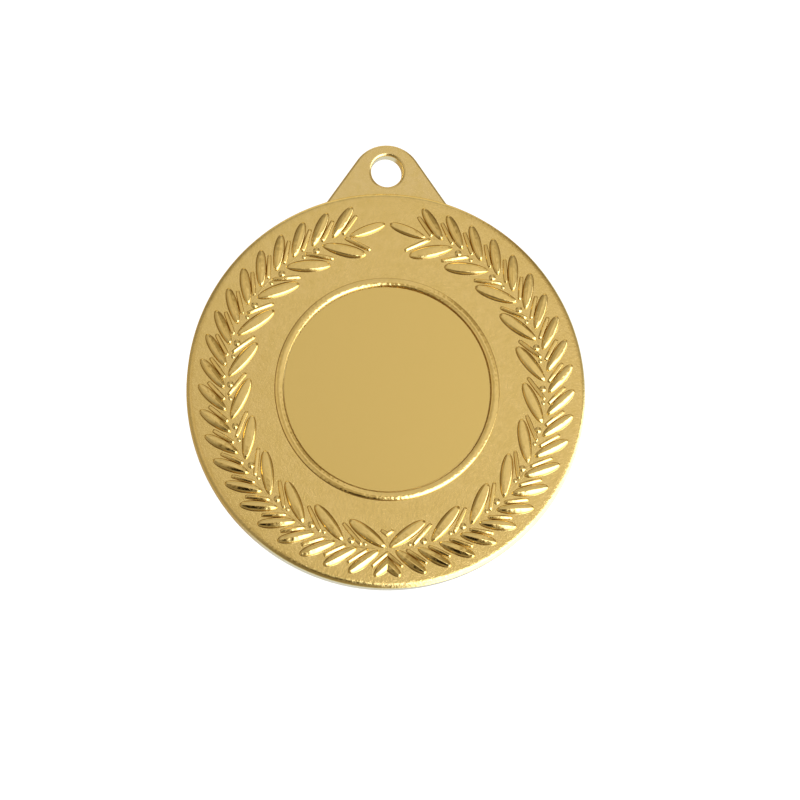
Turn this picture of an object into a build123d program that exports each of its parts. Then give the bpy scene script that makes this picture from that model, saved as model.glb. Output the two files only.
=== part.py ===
"""A 50 mm laurel-wreath medal: a round disc with a hanging tab, a raised wreath, a ring and a plain centre.

The medal hangs in its own frame, in millimetres: +Z up through the tab, +X to the wearer's left as seen
from the front, and the face towards -Y. The origin is the middle of the ribbon hole, halfway through the tab.
"""
import os
from math import asin, cos, degrees, radians, sin, sqrt

from build123d import *

os.makedirs("parts", exist_ok=True)

# --- Driving dimensions, in millimetres and degrees -------------------------------------------------

# Disc and tab
disc_radius = 25.0
disc_edge_rounding = 0.4
plate_thickness = 2.4
front_thickness = 0.6
hole_height = 28.0  # ribbon hole's centre above the disc's centre
hole_radius = 2.0
hole_lip_rounding = 0.38
tab_tip_radius = 4.55
tab_tip_height = 26.85  # centre of the rounded tip above the disc's centre
tab_flank_slope = 55.0  # from horizontal
tab_root_blend = 1.0
tab_edge_rounding = 0.3
label_recess_radius = 22.5
label_recess_depth = 0.2

# Centre: a plain disc in a round seat, with a raised ring around it
seat_radius = 13.0
centre_disc_radius = 12.9
adhesive_radius = 12.5
adhesive_thickness = 0.1
ring_inner_radius = 13.1
ring_outer_radius = 14.2
ring_height = 0.34
ring_edge_rounding = 0.28

# Wreath: angles are measured round the disc from its lowest point
wreath_gap = 0.03  # each branch stops this far from the centre line
stem_radius = 20.1
stem_width = 0.3
stem_height = 0.12
stem_end_angle = 164.0
stem_edge_rounding = 0.05

outer_leaf_count = 22
outer_leaf_pitch = 7.86
outer_leaf_first_tip = 4.0
outer_leaf_lean = 9.0  # how far round a leaf reaches from its base to its tip
outer_base_radius = 20.3
outer_tip_radius = 23.55
outer_leaf_width = 1.3
outer_leaf_height = 0.42

outer_narrow_base_lag = 5.2  # the narrow leaf's base, behind the wide leaf's tip
outer_narrow_tip_lead = 0.95  # the narrow leaf's tip, ahead of the wide leaf's tip
outer_narrow_tip_radius = 22.4
outer_narrow_width = 0.55
narrow_leaf_height = 0.24

inner_leaf_count = 11
inner_leaf_pitch = 15.5
inner_leaf_first_base = 0.6
inner_leaf_lean = 15.3
inner_base_radius = 19.9
inner_tip_radius = 17.2
inner_leaf_width = 1.58
inner_leaf_height = 0.34

inner_narrow_base_lead = 8.6  # ahead of the wide inner leaf's base
inner_narrow_tip_lead = 17.5
inner_narrow_tip_radius = 17.75
inner_narrow_width = 0.55

large_berry_lead = 12.7
large_berry_orbit = 19.58
large_berry_radius = 0.45
small_berry_lead = 7.5
small_berry_orbit = 19.65
small_berry_radius = 0.28
berry_height_share = 0.35  # of its radius

tip_leaf_base_angle = 166.0
tip_leaf_base_radius = 19.9
tip_leaf_tip_angle = 179.2
tip_leaf_tip_radius = 21.05
tip_leaf_width = 1.25

# --- Planes: each one faces the front, with its origin on the disc's axis ----------------------------

middle = Plane(origin=(0, 0, -hole_height), x_dir=(1, 0, 0), z_dir=(0, -1, 0))
plate_back = middle.offset(-plate_thickness / 2)
plate_front = middle.offset(plate_thickness / 2)
field = plate_front.offset(front_thickness)


def finish(piece, name):
    """Label a finished piece and write it to its own STEP file."""
    piece.label = name
    export_step(piece, f"parts/{name}.step")


# --- Plates, centre and ring -------------------------------------------------------------------------

# The tab's flanks are tangent to its rounded tip and run down into the disc
flank_direction = Vector(cos(radians(tab_flank_slope)), -sin(radians(tab_flank_slope)))
flank_top = Vector(0, tab_tip_height) + tab_tip_radius * Vector(-flank_direction.Y, flank_direction.X)
flank_foot = flank_top + flank_direction * (tab_tip_height / 3)

with BuildPart() as back_plate:
    with BuildSketch(plate_back) as outline:
        Circle(disc_radius)
        with Locations((0, tab_tip_height)):
            Circle(tab_tip_radius)
        with BuildLine():
            Polyline(
                (flank_top.X, flank_top.Y),
                (flank_foot.X, flank_foot.Y),
                (-flank_foot.X, flank_foot.Y),
                (-flank_top.X, flank_top.Y),
                close=True,
            )
        make_face()
        roots = outline.vertices().filter_by(lambda v: abs(v.X) > tab_tip_radius and v.Y > 0)
        fillet(roots, tab_root_blend)
    extrude(amount=plate_thickness)
    rim_edges = back_plate.edges().group_by(Axis.Y)
    fillet(rim_edges[0] + rim_edges[-1], tab_edge_rounding)
    # Behind the front disc the plate keeps its full width
    with BuildSketch(middle):
        Circle(disc_radius)
    extrude(amount=plate_thickness / 2)
    with BuildSketch(plate_back):
        Circle(label_recess_radius)
    extrude(amount=label_recess_depth, mode=Mode.SUBTRACT)
    with BuildSketch(plate_back):
        with Locations((0, hole_height)):
            Circle(hole_radius)
    extrude(amount=plate_thickness, mode=Mode.SUBTRACT)
    hole_edges = back_plate.edges().filter_by(
        lambda e: e.geom_type == GeomType.CIRCLE and abs(e.radius - hole_radius) < 0.001
    )
    fillet(hole_edges, hole_lip_rounding)

with BuildPart() as front_disc:
    with BuildSketch(plate_front):
        Circle(disc_radius)
        Circle(seat_radius, mode=Mode.SUBTRACT)
    extrude(amount=front_thickness)
    face_edges = front_disc.edges().group_by(Axis.Y)[0]
    fillet(face_edges.sort_by(SortBy.LENGTH)[-1], disc_edge_rounding)

with BuildPart() as centre_adhesive_pad:
    with BuildSketch(plate_front):
        Circle(adhesive_radius)
    extrude(amount=adhesive_thickness)

with BuildPart() as centre_disc:
    with BuildSketch(plate_front.offset(adhesive_thickness)):
        Circle(centre_disc_radius)
    extrude(amount=front_thickness - adhesive_thickness)

with BuildPart() as centre_ring:
    with BuildSketch(field):
        Circle(ring_outer_radius)
        Circle(ring_inner_radius, mode=Mode.SUBTRACT)
    extrude(amount=ring_height)
    fillet(centre_ring.edges().group_by(Axis.Y)[0], ring_edge_rounding)

finish(back_plate.part, "back_plate")
finish(front_disc.part, "front_disc")
finish(centre_adhesive_pad.part, "centre_adhesive_pad")
finish(centre_disc.part, "centre_disc")
finish(centre_ring.part, "centre_ring")


# --- Wreath --------------------------------------------------------------------------------------------


def polar_point(side, angle, radius):
    """A point on the field, by its angle from the disc's lowest point. side is -1 for left, 1 for right."""
    return Vector(side * radius * sin(radians(angle)), -radius * cos(radians(angle)))


def leaf_place(side, base_angle, base_radius, tip_angle, tip_radius):
    """Where a leaf lies on the field: at its base, turned towards its tip, and how long it is."""
    base = polar_point(side, base_angle, base_radius)
    reach = polar_point(side, tip_angle, tip_radius) - base
    return Plane(origin=base, x_dir=reach, z_dir=(0, 0, 1)).location, reach.length


def leaf_shape(length, width, height):
    """A pointed leaf lying along +X: a spindle, cut off flat at the field it stands on."""
    spindle_radius = (width**2 / 4 + height**2) / (2 * height)
    axis_depth = spindle_radius - height
    arc_radius = (length**2 / 4 + height**2) / (2 * height)
    half_spindle = sqrt(arc_radius**2 - (arc_radius - spindle_radius) ** 2)
    with BuildPart() as leaf:
        with BuildSketch(Plane.XZ):
            with BuildLine():
                ends = [(length / 2 + s * half_spindle, -axis_depth) for s in (-1, 1)]
                ThreePointArc(ends[0], (length / 2, height), ends[1])
                Line(ends[1], ends[0])
            make_face()
        revolve(axis=Axis((0, 0, -axis_depth), (1, 0, 0)))
        split(bisect_by=Plane.XY)
    return leaf.part


def berry_shape(radius):
    """A berry: a low dome, the cap of a larger sphere."""
    height = berry_height_share * radius
    sphere_radius = (radius**2 + height**2) / (2 * height)
    cap_start = degrees(asin(1 - height / sphere_radius))
    with BuildPart() as berry:
        Sphere(sphere_radius, arc_size1=cap_start, align=(Align.CENTER, Align.CENTER, Align.MIN))
    return berry.part


def leaf_row(side, spans, width, height):
    """Equal leaves over a list of (base angle, base radius, tip angle, tip radius), cut at the centre line."""
    places = [leaf_place(side, *span) for span in spans]
    shape = leaf_shape(places[0][1], width, height)
    with BuildPart(field) as row:
        with Locations([place for place, length in places]):
            add(shape)
        split(
            bisect_by=Plane.YZ.offset(side * wreath_gap),
            keep=Keep.TOP if side > 0 else Keep.BOTTOM,
        )
    return row.part


outer_tips = [outer_leaf_first_tip + k * outer_leaf_pitch for k in range(outer_leaf_count)]
inner_bases = [inner_leaf_first_base + k * inner_leaf_pitch for k in range(inner_leaf_count)]

outer_spans = [(tip - outer_leaf_lean, outer_base_radius, tip, outer_tip_radius) for tip in outer_tips]
outer_narrow_spans = [
    (tip - outer_narrow_base_lag, outer_base_radius, tip + outer_narrow_tip_lead, outer_narrow_tip_radius)
    for tip in outer_tips
]
inner_spans = [(base, inner_base_radius, base + inner_leaf_lean, inner_tip_radius) for base in inner_bases]
inner_narrow_spans = [
    (base + inner_narrow_base_lead, inner_base_radius, base + inner_narrow_tip_lead, inner_narrow_tip_radius)
    for base in [inner_leaf_first_base - inner_leaf_pitch] + inner_bases
]
tip_span = (tip_leaf_base_angle, tip_leaf_base_radius, tip_leaf_tip_angle, tip_leaf_tip_radius)

for side_name, side in (("left", -1), ("right", 1)):
    stem_line = CenterArc((0, 0), stem_radius, -90 + side, side * (stem_end_angle - 1))
    with BuildPart() as stem:
        with BuildSketch(field):
            SlotArc(stem_line, stem_width)
        extrude(amount=stem_height)
        fillet(stem.edges().group_by(Axis.Y)[0], stem_edge_rounding)
    finish(stem.part, f"{side_name}_stem")

    with BuildPart(field) as berries:
        for lead, orbit, radius in (
            (large_berry_lead, large_berry_orbit, large_berry_radius),
            (small_berry_lead, small_berry_orbit, small_berry_radius),
        ):
            shape = berry_shape(radius)
            with Locations([polar_point(side, base + lead, orbit) for base in inner_bases[:-1]]):
                add(shape)
    finish(berries.part, f"{side_name}_berries")

    for name, spans, width, height in (
        ("outer_leaves", outer_spans, outer_leaf_width, outer_leaf_height),
        ("outer_narrow_leaves", outer_narrow_spans, outer_narrow_width, narrow_leaf_height),
        ("inner_leaves", inner_spans, inner_leaf_width, inner_leaf_height),
        ("inner_narrow_leaves", inner_narrow_spans, inner_narrow_width, narrow_leaf_height),
        ("tip_leaf", [tip_span], tip_leaf_width, inner_leaf_height),
    ):
        finish(leaf_row(side, spans, width, height), f"{side_name}_{name}")
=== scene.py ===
"""The looks of a laurel-wreath medal: struck relief, gold plating, studio light and the camera."""

import math

import bmesh
import bpy
import numpy as np
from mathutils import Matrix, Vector, noise


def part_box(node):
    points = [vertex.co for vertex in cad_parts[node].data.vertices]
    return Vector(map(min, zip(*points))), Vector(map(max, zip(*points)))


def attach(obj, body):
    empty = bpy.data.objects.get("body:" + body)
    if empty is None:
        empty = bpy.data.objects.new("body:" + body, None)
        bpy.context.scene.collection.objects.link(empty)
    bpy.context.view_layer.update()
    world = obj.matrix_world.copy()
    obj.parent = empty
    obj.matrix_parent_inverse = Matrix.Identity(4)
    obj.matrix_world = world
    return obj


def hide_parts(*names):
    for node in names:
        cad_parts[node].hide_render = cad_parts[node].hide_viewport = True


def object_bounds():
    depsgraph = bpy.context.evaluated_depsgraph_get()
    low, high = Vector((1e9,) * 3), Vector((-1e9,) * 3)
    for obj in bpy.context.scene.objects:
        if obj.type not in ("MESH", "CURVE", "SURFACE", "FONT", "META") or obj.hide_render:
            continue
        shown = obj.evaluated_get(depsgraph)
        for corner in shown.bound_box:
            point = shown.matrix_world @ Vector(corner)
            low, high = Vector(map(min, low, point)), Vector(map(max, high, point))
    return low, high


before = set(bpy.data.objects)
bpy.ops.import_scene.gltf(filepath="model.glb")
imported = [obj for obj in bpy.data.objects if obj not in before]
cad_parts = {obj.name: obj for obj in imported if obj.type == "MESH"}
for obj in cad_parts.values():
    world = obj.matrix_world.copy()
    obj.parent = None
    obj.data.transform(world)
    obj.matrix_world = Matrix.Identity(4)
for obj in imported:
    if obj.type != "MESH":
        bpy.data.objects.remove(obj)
cad_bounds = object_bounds()

MM = 0.001

# --- The medal's own plane, read from the frame ---------------------------------------------------

disc_low, disc_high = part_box("front_disc")
disc_radius = (disc_high.x - disc_low.x) / 2
disc_centre = Vector((0, disc_low.y, (disc_low.z + disc_high.z) / 2))
front_thickness = disc_high.y - disc_low.y

ring_low, ring_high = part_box("centre_ring")
ring_outer = (ring_high.x - ring_low.x) / 2
ring_height = ring_high.y - ring_low.y

centre_low, centre_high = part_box("centre_disc")
centre_radius = (centre_high.x - centre_low.x) / 2

relief_depth = 0.03 * MM  # the relief's closed undersides reach this far into the plate
round_steps = 900  # round a turned piece


def on_medal(x, up, height):
    """A point from its place on the face, measured from the disc's centre, and its height above it."""
    return Vector((disc_centre.x + x, disc_centre.y - height, disc_centre.z + up))


def wobble(x, up, height, size, seed):
    """Smooth noise over the face, up to about the given height, with features of the given size."""
    return height * noise.noise(Vector((x / size, up / size, seed)))


def new_piece(name, points, faces, painted_shade, node, material):
    """A mesh piece that rides on the medal's only body and stands for a CAD node.

    The per-point shade values say, from 0 to 1, how much painted shade browns each point: most at the foot
    of sharp inner edges."""
    mesh = bpy.data.meshes.new(name)
    mesh.from_pydata(points, [], faces)
    mesh.attributes.new("painted_shade", "FLOAT", "POINT").data.foreach_set("value", painted_shade)
    mesh.update()
    mesh.shade_smooth()
    piece = bpy.data.objects.new(name, mesh)
    bpy.context.scene.collection.objects.link(piece)
    piece.data.materials.append(material)
    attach(piece, "root")
    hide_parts(node)
    return piece


def true_up(piece):
    """Turns every face of a closed piece outward."""
    mesh = bmesh.new()
    mesh.from_mesh(piece.data)
    bmesh.ops.recalc_face_normals(mesh, faces=mesh.faces)
    mesh.to_mesh(piece.data)
    mesh.free()


# --- Shader nodes: each function adds to a tree, and takes fixed values or other nodes' outputs ---


def new_material(name):
    """A material with its node tree and its shader."""
    material = bpy.data.materials.new(name)
    material.use_nodes = True
    return material, material.node_tree, material.node_tree.nodes["Principled BSDF"]


def plug(tree, socket, value):
    """Links an output to a socket, or sets the socket to a number or a colour."""
    if isinstance(value, bpy.types.NodeSocket):
        tree.links.new(value, socket)
    elif isinstance(value, tuple):
        socket.default_value = (*value, 1)
    else:
        socket.default_value = value


def mixed(tree, share, first, second):
    """A colour between two others."""
    node = tree.nodes.new("ShaderNodeMix")
    node.data_type = "RGBA"
    plug(tree, node.inputs[0], share)
    plug(tree, node.inputs[6], first)
    plug(tree, node.inputs[7], second)
    return node.outputs[2]


def cloud(tree, size, detail=2.0, coarseness=0.5):
    """Noise in the medal's own space, with features of the given size."""
    place = tree.nodes.new("ShaderNodeTexCoord")
    node = tree.nodes.new("ShaderNodeTexNoise")
    node.inputs["Scale"].default_value = 1 / size
    node.inputs["Detail"].default_value = detail
    node.inputs["Roughness"].default_value = coarseness
    plug(tree, node.inputs["Vector"], place.outputs["Object"])
    return node.outputs[0]


def spread(tree, value, low, high):
    """Noise, which keeps near the middle of its range, spread out from low to high."""
    node = tree.nodes.new("ShaderNodeMapRange")
    node.inputs["From Min"].default_value = 0.3
    node.inputs["From Max"].default_value = 0.7
    node.inputs["To Min"].default_value = low
    node.inputs["To Max"].default_value = high
    plug(tree, node.inputs["Value"], value)
    return node.outputs[0]


# --- Materials ------------------------------------------------------------------------------------

GOLD = (0.925, 0.72, 0.275)
PALE_GOLD = (1.0, 0.79, 0.345)
PLATE_GOLD = (0.92, 0.73, 0.30)
PALE_PLATE_GOLD = (0.99, 0.80, 0.40)
CENTRE_GOLD = (0.915, 0.715, 0.27)
# The dark brown of the painted shade at the feet of the relief's walls and edges
SHADE_BROWN = (0.19, 0.075, 0.004)
MILKY = (0.70, 0.69, 0.64)
PALE_MILKY = (0.82, 0.81, 0.77)


def gold(name, tone, pale_tone, roughness, gloss_variation, grain_size, grain_depth):
    """Gold plating: metallic, faintly mottled in colour and gloss, finely grained, with painted shade that
    browns it at the feet of walls.
    """
    mottle_size, gloss_size = 1.1 * MM, 0.7 * MM
    material, tree, shader = new_material(name)
    shader.inputs["Metallic"].default_value = 1.0
    painted_shade = tree.nodes.new("ShaderNodeAttribute")
    painted_shade.attribute_name = "painted_shade"
    mottle = mixed(tree, spread(tree, cloud(tree, mottle_size, 4.0, 0.75), 0.0, 1.0), tone, pale_tone)
    # Painted shade: the per-point shade attribute mixes the colour towards a dark brown
    plug(tree, shader.inputs["Base Color"], mixed(tree, painted_shade.outputs["Fac"], mottle, SHADE_BROWN))
    glossiest, dullest = roughness * (1 - gloss_variation), roughness * (1 + gloss_variation)
    gloss = spread(tree, cloud(tree, gloss_size, 4.0), glossiest, dullest)
    plug(tree, shader.inputs["Roughness"], gloss)
    bump = tree.nodes.new("ShaderNodeBump")
    bump.inputs["Strength"].default_value = 1.0
    bump.inputs["Distance"].default_value = grain_depth
    plug(tree, bump.inputs["Height"], cloud(tree, grain_size, 4.0, 0.65))
    plug(tree, shader.inputs["Normal"], bump.outputs[0])
    return material


def adhesive():
    """A milky double-sided film, which only shows as a thin edge."""
    fibre_size = 0.5 * MM
    material, tree, shader = new_material("adhesive_film")
    plug(tree, shader.inputs["Base Color"], mixed(tree, cloud(tree, fibre_size), MILKY, PALE_MILKY))
    shader.inputs["Roughness"].default_value = 0.6
    return material


field_gold = gold(
    "gold_field", GOLD, PALE_GOLD,
    roughness=0.15, gloss_variation=0.20, grain_size=0.36 * MM, grain_depth=0.028 * MM,
)
plate_gold = gold(
    "gold_plate", PLATE_GOLD, PALE_PLATE_GOLD,
    roughness=0.20, gloss_variation=0.15, grain_size=0.36 * MM, grain_depth=0.016 * MM,
)
relief_gold = gold(
    "gold_relief", GOLD, PALE_GOLD,
    roughness=0.10, gloss_variation=0.20, grain_size=0.40 * MM, grain_depth=0.010 * MM,
)
centre_gold = gold(
    "gold_centre", CENTRE_GOLD, GOLD,
    roughness=0.18, gloss_variation=0.02, grain_size=1.2 * MM, grain_depth=0.0004 * MM,
)


# --- Round pieces: a profile swept round the disc's axis ------------------------------------------


def turned_piece(name, profile, painted_shade, node, material, uneven):
    """Sweeps a closed profile of (radius, height) points round the disc's axis.

    The shade list gives each of them its painted shade, and uneven(x, up, index) gives how far a point is
    raised, so that the metal isn't perfectly true."""
    points, faces = [], []
    count = len(profile)
    for step in range(round_steps):
        turn = 2 * math.pi * step / round_steps
        for index, (radius, height) in enumerate(profile):
            x, up = radius * math.sin(turn), -radius * math.cos(turn)
            points.append(on_medal(x, up, height + uneven(x, up, index)))
    for step in range(round_steps):
        here = step * count
        there = (step + 1) % round_steps * count
        for index in range(count):
            follow = (index + 1) % count
            faces.append((here + index, there + index, there + follow, here + follow))
    return new_piece(name, points, faces, painted_shade * round_steps, node, material)


def make_front_disc():
    """The struck face plate: an annulus with a softly rounded rim and a faintly uneven field."""
    seat_clearance = 0.1 * MM
    rim_width, rim_drop = 0.72 * MM, 0.40 * MM
    fall_start, fall = 21.5 * MM, 0.05 * MM  # the field falls away a little towards the rim
    field_points, rim_steps = 84, 12
    seat, rim = centre_radius + seat_clearance, disc_radius - rim_width
    profile = [(seat, -front_thickness), (seat, 0.0)]
    for k in range(1, field_points + 1):
        profile.append((seat + (rim - seat) * k / (field_points + 1), 0.0))
    rim_start = len(profile) - 2
    for k in range(rim_steps + 1):
        slant = math.pi / 2 * k / rim_steps
        profile.append((disc_radius - rim_width * (1 - math.sin(slant)), -rim_drop * (1 - math.cos(slant))))
    profile.append((disc_radius, -front_thickness))
    last = len(profile) - 1

    def uneven(x, up, index):
        if index in (0, last):
            return 0.0
        raised = wobble(x, up, 0.005 * MM, 3.2 * MM, 1.7) + wobble(x, up, 0.0008 * MM, 0.9 * MM, 5.1)
        outward = max(0.0, math.hypot(x, up) - fall_start) / (disc_radius - fall_start)
        raised -= fall * outward**2
        if index >= rim_start:
            raised += wobble(x, up, 0.011 * MM, 0.33 * MM, 9.3)
        return raised

    painted_shade = [0.0] * len(profile)
    name, node = "front_disc_struck", "front_disc"
    return turned_piece(name, profile, painted_shade, node, field_gold, uneven)


def make_ring():
    """The raised ring round the centre: a steep wall inside, a low arch on top and a steep foot outside."""
    inner_gap, outer_gap = 0.11 * MM, 0.07 * MM  # outside the centre disc, and inside the CAD ring
    wall = 0.11 * MM  # the width of the wall and of the foot
    arch_fall, arch_power = 0.30 * MM, 1.8  # how far the arch falls a millimetre from its top
    top_shift = 0.02 * MM  # the arch is highest a little inside its middle
    wall_steps, arch_steps, foot_steps = 6, 20, 8
    # Painted shade, a browner tone, at the ring's underside, its inner wall and its outer foot
    underside_shade, wall_shade, foot_shade = 0.3, 0.35, 0.75
    lowered = 0.012 * MM  # leaves room for the unevenness
    inner, outer = centre_radius + inner_gap, ring_outer - outer_gap
    start, end = inner + wall, outer - wall
    top = (start + end) / 2 - top_shift
    height = 0.96 * ring_height

    def arch(radius):
        return height - arch_fall * (abs(radius - top) / MM) ** arch_power

    profile, painted_shade = [(inner, -relief_depth)], [underside_shade]
    for k in range(wall_steps):
        share = k / wall_steps
        profile.append((inner + wall * share, arch(start) * math.sin(share * math.pi / 2)))
        painted_shade.append(wall_shade * (1 - share))
    for k in range(arch_steps + 1):
        radius = start + (end - start) * k / arch_steps
        profile.append((radius, arch(radius)))
        painted_shade.append(0.0)
    for k in range(1, foot_steps + 1):
        share = k / foot_steps
        profile.append((end + wall * share, arch(end) * 0.5 * (1 + math.cos(math.pi * share))))
        painted_shade.append(foot_shade * math.sin(math.pi * share))
    profile.append((outer, -relief_depth))
    painted_shade.append(0.0)
    last = len(profile) - 1

    def uneven(x, up, index):
        if index in (0, last):
            return 0.0
        ragged = wobble(x, up, 0.010 * MM, 0.35 * MM, 3.3)
        return ragged + wobble(x, up, 0.003 * MM, 1.8 * MM, 8.8) - lowered

    name, node = "centre_ring_struck", "centre_ring"
    return turned_piece(name, profile, painted_shade, node, relief_gold, uneven)


# --- Leaves ---------------------------------------------------------------------------------------


def islands(node):
    """The separate solids of a CAD node, each as an array of points on the face: x, up, height."""
    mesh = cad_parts[node].data
    points = np.array([(v.co.x, v.co.z - disc_centre.z, disc_centre.y - v.co.y) for v in mesh.vertices])
    places = {}
    first = []  # the first point at the same place as each point
    for i, point in enumerate(points):
        first.append(places.setdefault(tuple(np.round(point / (0.0001 * MM)).astype(int)), i))
    leader = list(range(len(points)))

    def top(i):
        while leader[i] != i:
            leader[i] = leader[leader[i]]
            i = leader[i]
        return i

    for edge in mesh.edges:
        a, b = top(first[edge.vertices[0]]), top(first[edge.vertices[1]])
        leader[a] = b
    groups = {}
    for i in range(len(points)):
        groups.setdefault(top(first[i]), []).append(i)
    return [points[group] for group in groups.values()]


def footprints(node, stem_radius):
    """Each leaf of a CAD node as (base, tip, width, height), in order from the bottom of the disc."""
    leaves = []
    for points in islands(node):
        flat = points[:, :2]
        one = flat[np.argmax(np.linalg.norm(flat - flat.mean(0), axis=1))]
        other = flat[np.argmax(np.linalg.norm(flat - one, axis=1))]
        base, tip = sorted((one, other), key=lambda p: abs(np.linalg.norm(p) - stem_radius))
        along = (tip - base) / np.linalg.norm(tip - base)
        across = (flat - base) @ np.array((-along[1], along[0]))
        leaves.append((base, tip, np.ptp(across), points[:, 2].max()))
    leaves.sort(key=lambda leaf: math.atan2(abs(leaf[1][0]), -leaf[1][1]))
    return leaves


def turned(point, angle):
    """A point on the face, turned round the disc's centre."""
    c, s = math.cos(angle), math.sin(angle)
    return np.array((c * point[0] - s * point[1], s * point[0] + c * point[1]))


def whole_footprints(node, stem_radius):
    """The footprints, with the leaves that the centre line cuts given back their full length."""
    uncut = 0.97  # of the longest leaf's length, at least
    leaves = footprints(node, stem_radius)
    full = max(np.linalg.norm(tip - base) for base, tip, _, _ in leaves)
    if len(leaves) < 3:
        return leaves
    whole = [leaf for leaf in leaves if np.linalg.norm(leaf[1] - leaf[0]) > uncut * full]
    a, b = whole[0][1], whole[1][1]
    pitch = math.atan2(a[0] * b[1] - a[1] * b[0], a @ b)
    for _ in range(len(leaves) - len(whole)):
        base, tip, width, height = whole[0]
        whole.insert(0, (turned(base, -pitch), turned(tip, -pitch), width, height))
    return whole


class LeafShape:
    """How a leaf swells: its outline from base to tip, and its section from midrib to edge.

    Places along the leaf, u, run from 0 at the base to 1 at the tip. Places across it, t, are 0 at the
    midrib and 1 or -1 at the nominal edges."""

    skirt = 1.15  # the foot of the side wall runs out this far
    bevel_start = 0.56  # the bevel runs from here to the side wall
    roof_lanes, wall_lanes = 5, 12  # on each side, inside and outside the start of the bevel
    crest_rounding = 0.0775
    end_height = 0.76  # of the full height
    base_round, tip_round = 0.09, 0.06  # the lengths over which the two ends rise
    sunk = 0.012  # of the height, so that the foot lies just under the field
    stain, stain_width = 0.8, 0.08  # the painted shade: a browner line at the foot of the wall
    narrowest = 0.02  # of the width, so that the ends aren't quite points

    def __init__(self, base_taper, tip_taper, ridge, crest, crown, bevel, shoulder, edge, unevenness):
        self.base_taper = base_taper  # larger is more pointed at the stem
        self.tip_taper = tip_taper
        self.ridge = ridge  # how much of the height the roof loses from midrib to edge, as straight facets
        self.crown = crown  # and how much more as a round dome
        self.bevel = bevel  # and how much more as a bevel along its edges
        self.crest = crest  # where the crest between the facets is, negative towards the leaf's upper side
        self.shoulder = shoulder  # where the side wall stands
        self.edge = edge  # how soft that wall is
        self.unevenness = unevenness  # how far the skin is from smooth
        self.peak = max(self.bulge(k / 100) for k in range(101))

    def lanes(self):
        """Places across the leaf, closer together on the side walls."""
        roof = [self.bevel_start * k / self.roof_lanes for k in range(self.roof_lanes + 1)]
        wall_width = self.skirt - self.bevel_start
        wall = [self.bevel_start + wall_width * k / self.wall_lanes for k in range(1, self.wall_lanes + 1)]
        one_side = roof + wall
        return [-t for t in reversed(one_side[1:])] + one_side

    def painted_shade(self, t):
        """How much painted shade browns the metal at a place across the leaf: most at the foot of the side
        wall.
        """
        foot = self.shoulder + 2.2 * self.edge
        return self.stain * math.exp(-(((abs(t) - foot) / self.stain_width) ** 2))

    def bulge(self, u):
        """The outline before it is scaled, so that its widest place is peak."""
        return u**self.base_taper * (1 - u) ** self.tip_taper

    def outline(self, u):
        """The leaf's width at a place along it, as a share of its full width."""
        return max(self.bulge(u) / self.peak, self.narrowest)

    def rise(self, u, t, lower_side):
        """The height at a place. lower_side is 1 or -1, the sign of t on the side that faces down."""
        from_crest = t * lower_side - self.crest
        t = abs(t)
        roof = 1 - self.ridge * (math.hypot(from_crest, self.crest_rounding) - self.crest_rounding)
        roof -= self.crown * t * t
        roof -= self.bevel * max(0.0, t - self.bevel_start) / (self.shoulder - self.bevel_start)
        wall = 1 / (1 + math.exp((t - self.shoulder) / self.edge))
        foot = 1 / (1 + math.exp((self.skirt - self.shoulder) / self.edge))
        swell = self.end_height + (1 - self.end_height) * math.sin(math.pi * u**0.85)
        base_end = min(1.0, u / self.base_round)
        tip_end = min(1.0, (1 - u) / self.tip_round)
        ends = (base_end * (2 - base_end)) * (tip_end * (2 - tip_end))
        return roof * (wall - foot) * swell * ends - self.sunk


outer_shape = LeafShape(
    base_taper=0.55, tip_taper=0.5, ridge=0.42, crest=0.0, crown=0.03, bevel=0.06,
    shoulder=0.92, edge=0.036, unevenness=0.014 * MM,
)
inner_shape = LeafShape(
    base_taper=0.6, tip_taper=0.5, ridge=0.0, crest=0.0, crown=0.08, bevel=0.26,
    shoulder=0.88, edge=0.045, unevenness=0.008 * MM,
)
narrow_shape = LeafShape(
    base_taper=0.16, tip_taper=0.16, ridge=0.24, crest=-0.35, crown=0.04, bevel=0.0,
    shoulder=0.88, edge=0.06, unevenness=0.005 * MM,
)


def leaf_grid(base, tip, width, height, shape, rows, seed):
    """Points and faces of one leaf: a raised top over a closed flat underside."""
    uneven_size = 0.38 * MM
    uneven_from = 0.1 * MM  # the skin is fully uneven from this height up
    highest = 0.99 * height
    along = tip - base
    length = np.linalg.norm(along)
    along = along / length
    across = np.array((-along[1], along[0]))
    lower_side = -1 if along[0] > 0 else 1
    lanes = shape.lanes()
    count = len(lanes)
    points, faces, painted_shade = [], [], []
    for i in range(rows + 1):
        u = 0.5 - 0.5 * math.cos(math.pi * i / rows)
        half = width / 2 * shape.outline(u)
        for t in lanes:
            painted_shade.append(shape.painted_shade(t))
            x, up = base + along * length * u + across * half * t
            rise = height * shape.rise(u, t, lower_side)
            uneven = wobble(x, up, shape.unevenness, uneven_size, seed)
            rise += uneven * min(1.0, max(rise, 0.0) / uneven_from)
            points.append(on_medal(x, up, min(rise, highest)))
    under = len(points)
    for i in range(rows + 1):
        for edge in (i * count, i * count + count - 1):
            points.append(Vector((points[edge].x, disc_centre.y + relief_depth, points[edge].z)))
            painted_shade.append(0.0)
    for i in range(rows):
        left, right = i * count, i * count + count - 1
        low = under + 2 * i
        for a in range(left, right):
            faces.append((a, a + 1, a + count + 1, a + count))
        faces.append((left, left + count, low + 2, low))
        faces.append((right, low + 1, low + 3, right + count))
        faces.append((low, low + 2, low + 3, low + 1))
    faces.append(tuple(range(count)) + (under + 1, under))
    last = rows * count
    faces.append((under + 2 * rows, under + 2 * rows + 1) + tuple(range(last + count - 1, last - 1, -1)))
    return points, faces, painted_shade


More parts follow.
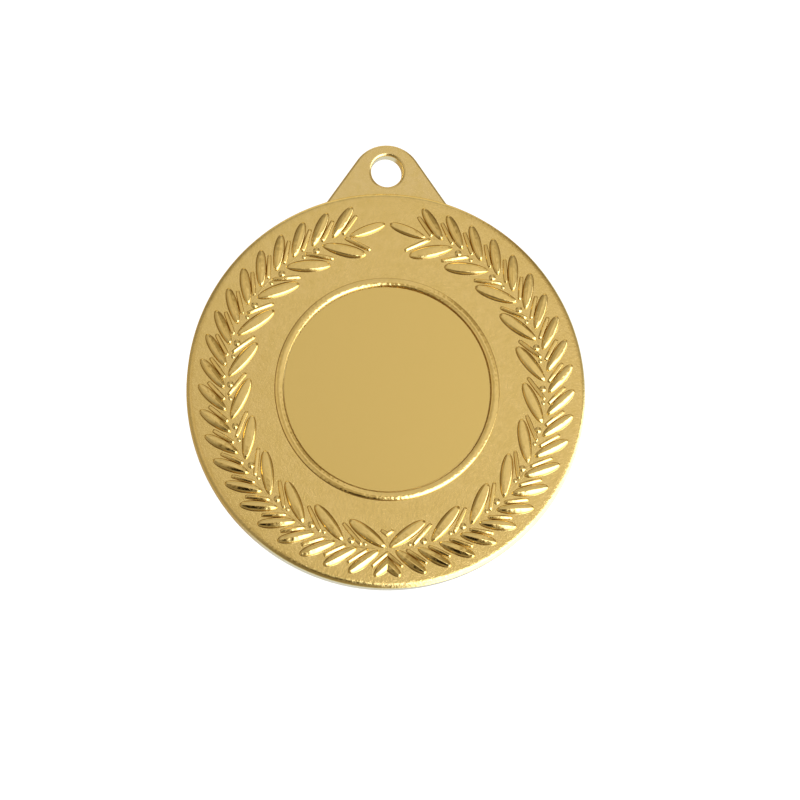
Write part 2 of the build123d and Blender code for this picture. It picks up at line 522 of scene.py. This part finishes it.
def make_leaves(node, stem_radius, shape, rows, seed):
    """All the leaves of one CAD node, as one piece of separate closed meshes, cut at the centre line."""
    seed_step = 1.37  # from one leaf to the next
    gap = 0.004 * MM  # from the centre line
    side = -1 if node.startswith("left") else 1
    points, faces, painted_shade = [], [], []
    for base, tip, width, height in whole_footprints(node, stem_radius):
        new_points, new_faces, new_recess = leaf_grid(base, tip, width, height, shape, rows, seed)
        faces += [tuple(i + len(points) for i in face) for face in new_faces]
        points += new_points
        painted_shade += new_recess
        seed += seed_step
    piece = new_piece(node + "_struck", points, faces, painted_shade, node, relief_gold)
    cut = bmesh.new()
    cut.from_mesh(piece.data)
    geometry = cut.verts[:] + cut.edges[:] + cut.faces[:]
    bmesh.ops.bisect_plane(
        cut, geom=geometry, plane_co=(side * gap, 0, 0), plane_no=(-side, 0, 0), clear_outer=True
    )
    bmesh.ops.holes_fill(cut, edges=[e for e in cut.edges if e.is_boundary])
    bmesh.ops.recalc_face_normals(cut, faces=cut.faces)
    cut.to_mesh(piece.data)
    cut.free()
    return piece


# --- Berries and stems ----------------------------------------------------------------------------


def make_berries(node):
    """The berries of one branch: low, slightly lumpy domes."""
    rings, turns = 9, 28
    fullness = 1.7  # larger is flatter on top
    lumpiness, seed_step = 0.06, 2.3
    stain, stain_start = 0.7, 0.825  # the painted shade at the browner edge, and the share of the radius where it starts
    sunk = 0.01 * MM  # the edge lies this far under the field
    points, faces, painted_shade = [], [], []
    for number, cad_points in enumerate(islands(node)):
        middle = (cad_points[:, :2].max(0) + cad_points[:, :2].min(0)) / 2
        radius = np.ptp(cad_points[:, 0]) / 2
        height = cad_points[:, 2].max()
        start = len(points)
        points.append(on_medal(middle[0], middle[1], height))
        painted_shade.append(0.0)
        for ring in range(1, rings + 1):
            share = ring / rings
            rise = height * (1 - share**fullness) - sunk * share
            for turn in range(turns):
                angle = 2 * math.pi * turn / turns
                c, s = math.cos(angle), math.sin(angle)
                out = radius * share * (1 + lumpiness * noise.noise(Vector((c, s, number * seed_step))))
                points.append(on_medal(middle[0] + out * c, middle[1] + out * s, rise))
                painted_shade.append(stain * max(0.0, share - stain_start) / (1 - stain_start))
        for turn in range(turns):
            after = (turn + 1) % turns
            faces.append((start, start + 1 + after, start + 1 + turn))
            for ring in range(rings - 1):
                near = start + 1 + ring * turns
                faces.append((near + turn, near + after, near + turns + after, near + turns + turn))
        edge = start + 1 + (rings - 1) * turns
        faces.append(tuple(edge + turn for turn in reversed(range(turns))))
    piece = new_piece(node + "_struck", points, faces, painted_shade, node, relief_gold)
    true_up(piece)
    return piece


def make_stem(side_name, side, stem_radius):
    """A branch's stem: a very low, wavy ridge along its arc, which thins towards its end."""
    start, end = math.radians(1.0), math.radians(163.0)  # from the disc's lowest point
    steps, lanes = 420, 9
    half_width, thinning = 0.17, 0.05  # in millimetres
    blunt_end, widening = 0.3, 12  # how wide each end is, and how fast it widens
    wave_height, wave_rate = 0.03 * MM, 14
    crest_height, crest_change, crest_rate = 0.004, 0.010, 32  # the heights in millimetres
    sunk = 0.003 * MM
    # painted shade: the whole stem a little browner
    stain = 0.1
    points, faces = [], []
    for step in range(steps + 1):
        share = step / steps
        angle = start + (end - start) * share
        ends = min(1.0, widening * share + blunt_end, widening * (1 - share) + blunt_end)
        half = (half_width - thinning * share) * MM * ends
        wave = wave_height * noise.noise(Vector((angle * wave_rate, 0.0, side)))
        crest = (crest_height + crest_change * noise.noise(Vector((angle * crest_rate, 4.0, side)))) * MM
        for lane in range(lanes):
            t = 2 * lane / (lanes - 1) - 1
            radius = stem_radius + wave + half * t
            rise = crest * (1 - t * t) - sunk
            points.append(on_medal(side * radius * math.sin(angle), -radius * math.cos(angle), rise))
    for step in range(steps):
        here = step * lanes
        for a in range(here, here + lanes - 1):
            faces.append((a, a + 1, a + lanes + 1, a + lanes))
        faces.append((here, here + lanes, here + 2 * lanes - 1, here + lanes - 1))
    faces.append(tuple(range(lanes)))
    faces.append(tuple(steps * lanes + lane for lane in reversed(range(lanes))))
    painted_shade = [stain] * len(points)
    node = side_name + "_stem"
    piece = new_piece(node + "_struck", points, faces, painted_shade, node, relief_gold)
    true_up(piece)
    return piece


def make_branch(side_name, side):
    """One laurel branch: its stem, its berries and its leaves in their rows."""
    half_stem = 0.15 * MM  # half the CAD stem's width
    low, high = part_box(side_name + "_stem")
    stem_radius = max(abs(low.x), abs(high.x)) - half_stem
    make_stem(side_name, side, stem_radius)
    make_berries(side_name + "_berries")
    for row, shape, rows in (
        ("outer_leaves", outer_shape, 44),
        ("outer_narrow_leaves", narrow_shape, 30),
        ("inner_leaves", inner_shape, 48),
        ("inner_narrow_leaves", narrow_shape, 30),
        ("tip_leaf", inner_shape, 48),
    ):
        make_leaves(f"{side_name}_{row}", stem_radius, shape, rows, len(row) * 3.1)


# --- Making the medal -----------------------------------------------------------------------------

for node, material in (
    ("back_plate", plate_gold),
    ("centre_disc", centre_gold),
    ("centre_adhesive_pad", adhesive()),
):
    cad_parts[node].data.materials.clear()
    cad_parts[node].data.materials.append(material)

make_front_disc()
make_ring()
make_branch("left", -1)
make_branch("right", 1)


# --- Stage ----------------------------------------------------------------------------------------


def make_floor():
    """A wide pale floor, well below the hanging medal, which its reflections leave out."""
    size, drop = 3.0, 0.06  # half its width, and how far below the medal it lies, in metres
    tone, paler_tone = (0.891, 0.891, 0.891), (0.9, 0.9, 0.9)
    level = cad_bounds[0].z - drop
    corners = [(-size, -size, level), (size, -size, level), (size, size, level), (-size, size, level)]
    mesh = bpy.data.meshes.new("floor")
    mesh.from_pydata(corners, [], [(0, 1, 2, 3)])
    floor = bpy.data.objects.new("floor", mesh)
    bpy.context.scene.collection.objects.link(floor)
    floor.visible_glossy = False
    material, tree, shader = new_material("pale_floor")
    patches = tree.nodes.new("ShaderNodeTexNoise")
    patches.inputs["Scale"].default_value = 8
    plug(tree, shader.inputs["Base Color"], mixed(tree, patches.outputs[0], tone, paler_tone))
    shader.inputs["Roughness"].default_value = 0.8
    mesh.materials.append(material)


# --- Light: a white backdrop, and by direction what the metal mirrors of the studio ---------------

CARD, BROWN_CARD = (1.0, 0.885, 0.72), (1.0, 0.70, 0.24)
COOL_WHITE = (0.87, 0.93, 1.0)
WARM_TAN = (1.0, 0.76, 0.38)
WARM_WHITE = (1.0, 0.90, 0.62)


class Directions:
    """Sums in the world's shader, over the direction in which a ray leaves the medal.

    mirror is the direction that the flat face mirrors, as the camera sees it. From there, aside is measured
    to the right, upward is measured up, off is the distance, and turn is the angle, 0 to the right."""

    def __init__(self, tree, mirror):
        self.tree = tree
        way = tree.nodes.new("ShaderNodeSeparateXYZ")
        plug(tree, way.inputs[0], tree.nodes.new("ShaderNodeTexCoord").outputs["Generated"])
        self.x, self.y, self.z = way.outputs["X"], way.outputs["Y"], way.outputs["Z"]
        self.aside = self.less(self.x, mirror.x)
        self.upward = self.less(self.z, mirror.z)
        squared = self.total(self.product(self.aside, self.aside), self.product(self.upward, self.upward))
        self.off = self.calc("SQRT", squared)
        self.turn = self.calc("ARCTAN2", self.upward, self.aside)

    def calc(self, operation, first, second=0.0):
        """One sum, by the name of its operation."""
        node = self.tree.nodes.new("ShaderNodeMath")
        node.operation = operation
        plug(self.tree, node.inputs[0], first)
        plug(self.tree, node.inputs[1], second)
        return node.outputs[0]

    def less(self, first, second):
        """The first without the second."""
        return self.calc("SUBTRACT", first, second)

    def product(self, *factors):
        """The factors multiplied."""
        result = factors[0]
        for factor in factors[1:]:
            result = self.calc("MULTIPLY", result, factor)
        return result

    def total(self, *terms):
        """The terms added up."""
        result = terms[0]
        for term in terms[1:]:
            result = self.calc("ADD", result, term)
        return result

    def ramp(self, value, start, end, low=0.0, high=1.0):
        """A soft step from low at one value to high at another."""
        node = self.tree.nodes.new("ShaderNodeMapRange")
        node.interpolation_type = "SMOOTHSTEP"
        plug(self.tree, node.inputs["Value"], value)
        for name, number in (("From Min", start), ("From Max", end), ("To Min", low), ("To Max", high)):
            node.inputs[name].default_value = number
        return node.outputs[0]

    def sector(self, begin, full, fade, end):
        """1 between two angles round the mirror direction, in degrees, with soft sides."""
        rising = self.ramp(self.turn, math.radians(begin), math.radians(full))
        return self.product(rising, self.ramp(self.turn, math.radians(fade), math.radians(end), 1, 0))

    def patch(self, where, start, full, depth, fade=None, end=None):
        """How much a patch takes away: depth from one distance off, and nothing again from another."""
        taken = self.product(where, self.ramp(self.off, start, full, 0.0, depth))
        if fade is None:
            return taken
        return self.product(taken, self.ramp(self.off, fade, end, 1, 0))

    def light(self, colour, strength):
        """Light from each direction, of a colour and strength that may depend on it."""
        node = self.tree.nodes.new("ShaderNodeBackground")
        plug(self.tree, node.inputs["Color"], colour)
        plug(self.tree, node.inputs["Strength"], strength)
        return node.outputs[0]

    def lights(self, first, *others):
        """Several lights together."""
        result = first
        for other in others:
            node = self.tree.nodes.new("ShaderNodeAddShader")
            plug(self.tree, node.inputs[0], result)
            plug(self.tree, node.inputs[1], other)
            result = node.outputs[0]
        return result


def grey_card(ways, behind):
    """The card that the flat face mirrors: brighter to the right, dimmer far off, with browner patches."""
    off, ramp, product, sector, patch = ways.off, ways.ramp, ways.product, ways.sector, ways.patch
    lean = ways.less(product(ways.aside, 0.95), product(ways.upward, 0.3))
    # The far left is where the angle jumps from 180 degrees to -180
    far_left = ways.total(sector(158, 172, 190, 200), sector(-200, -190, -150, -132))
    strength = ways.total(
        product(ramp(off, 0.42, 0.80, 0.665, 0.38), ramp(lean, -0.12, 0.12, 0.92, 1.18)),
        product(far_left, ramp(off, 0.40, 0.55), ramp(off, 0.75, 0.95, 0.10, 0.02)),
    )
    dim = ways.total(
        patch(sector(0, 18, 46, 68), 0.10, 0.24, 0.26),
        patch(sector(24, 38, 50, 64), 0.10, 0.22, 0.28),
        patch(sector(124, 140, 160, 172), 0.15, 0.35, 0.22),
        patch(far_left, 0.12, 0.24, 0.13, 0.34, 0.44),
        patch(sector(-152, -128, -90, -80), 0.04, 0.10, 0.34, 0.22, 0.32),
        patch(sector(-136, -120, -90, -82), 0.22, 0.32, 0.34),
        patch(sector(-120, -109, -98, -91), 0.40, 0.46, 0.64, 0.72, 0.82),
    )
    brownness = ways.total(dim, patch(far_left, 0.12, 0.30, 0.22))
    colour = mixed(ways.tree, brownness, CARD, BROWN_CARD)
    return ways.light(colour, product(strength, ways.less(1.0, dim), ways.less(1.0, behind)))


def softbox(ways):
    """The strength of a softbox straight below, which widens to the right further off and ends behind."""
    right_side = ways.less(ways.turn, ways.product(ways.off, math.radians(88)))
    return ways.product(
        ways.ramp(ways.turn, math.radians(-87), math.radians(-77)),
        ways.ramp(right_side, math.radians(-90), math.radians(-76), 1, 0),
        ways.ramp(ways.off, 0.20, 0.32),
        ways.ramp(ways.off, 0.60, 0.70, 3.2, 2.4),
        ways.ramp(ways.y, 0.30, 0.60, 1, 0),
    )


def light_studio(mirror):
    """The backdrop, and for reflections the card, the softbox, the ceiling and the room behind the medal.

    That room is white, with a warm wall above and to the left."""
    world = bpy.data.worlds.new("studio")
    bpy.context.scene.world = world
    world.use_nodes = True
    tree = world.node_tree
    ways = Directions(tree, mirror)
    behind = ways.ramp(ways.y, -0.05, 0.25)
    up_left = ways.less(ways.z, ways.x)
    room = ways.product(ways.ramp(up_left, -0.04, 0.12, 0.80, 0.0), behind)
    warm_wall = ways.product(ways.ramp(up_left, -0.04, 0.12, 0.0, 0.50), behind)
    ceiling = ways.ramp(ways.z, 0.80, 0.95, 0.0, 0.40)
    mirrored = ways.lights(
        grey_card(ways, behind),
        ways.light(COOL_WHITE, ways.total(softbox(ways), room)),
        ways.light(WARM_TAN, warm_wall),
        ways.light(WARM_WHITE, ceiling),
    )
    mix = tree.nodes.new("ShaderNodeMixShader")
    plug(tree, mix.inputs[0], tree.nodes.new("ShaderNodeLightPath").outputs["Is Glossy Ray"])
    plug(tree, mix.inputs[1], ways.light((1, 1, 1), 1.15))
    plug(tree, mix.inputs[2], mirrored)
    plug(tree, tree.nodes["World Output"].inputs["Surface"], mix.outputs[0])


# --- Camera ---------------------------------------------------------------------------------------


def direction(azimuth, elevation):
    """A unit vector towards a place round the medal: azimuth 0 is straight in front, 90 is to the right."""
    a, e = math.radians(azimuth), math.radians(elevation)
    return Vector((math.sin(a) * math.cos(e), -math.cos(a) * math.cos(e), math.sin(e)))


def make_camera(azimuth, elevation):
    """The scene's camera, a little to the left of the medal's front and below it."""
    distance, lens, sensor_width = 0.3663, 132, 36  # in metres, and in millimetres
    aim_right, aim_down = 1.58, 1.40  # from the disc's centre, in millimetres
    data = bpy.data.cameras.new("camera")
    data.lens = lens
    data.sensor_width = sensor_width
    camera = bpy.data.objects.new("camera", data)
    bpy.context.scene.collection.objects.link(camera)
    towards = direction(azimuth, elevation)
    right = Vector((0, 0, 1)).cross(towards).normalized()
    above = towards.cross(right)
    eye = disc_centre + towards * distance
    aim = disc_centre + right * aim_right * MM - above * aim_down * MM
    camera.location = eye
    camera.rotation_euler = (eye - aim).to_track_quat("Z", "Y").to_euler()
    bpy.context.scene.camera = camera


camera_azimuth, camera_elevation = -5.0, -9.2
make_floor()
light_studio(direction(-camera_azimuth, -camera_elevation))
make_camera(camera_azimuth, camera_elevation)
bpy.context.scene.view_settings.view_transform = "Standard"
